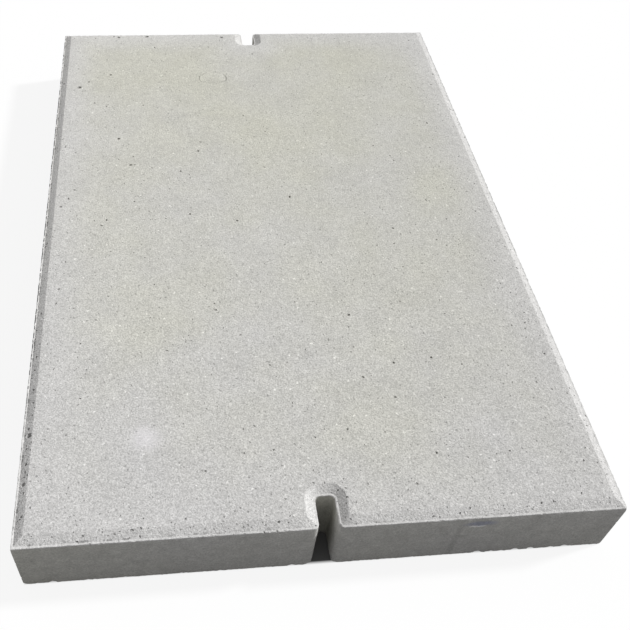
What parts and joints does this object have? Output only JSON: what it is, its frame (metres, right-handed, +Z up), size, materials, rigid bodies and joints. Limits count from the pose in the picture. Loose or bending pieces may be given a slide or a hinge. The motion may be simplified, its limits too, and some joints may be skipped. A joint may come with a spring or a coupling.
{
  "type": "concrete paving slab",
  "caption": "Large rectangular concrete paving slab with a chamfered and lipped top edge and an open lifting notch in the middle of each short end.",
  "frame": {"origin": "middle of the underside, which lies on the ground", "axes": "+X across the width, +Y along the length, towards the far end in the picture, +Z up through the top face"},
  "size_m": [1, 1.5, 0.14],
  "materials": {
    "concrete": "matt pale grey cast concrete with open pores and fine grain"
  },
  "bodies": {
    "root": {"paving_slab": "concrete"}
  },
  "joints": []
}
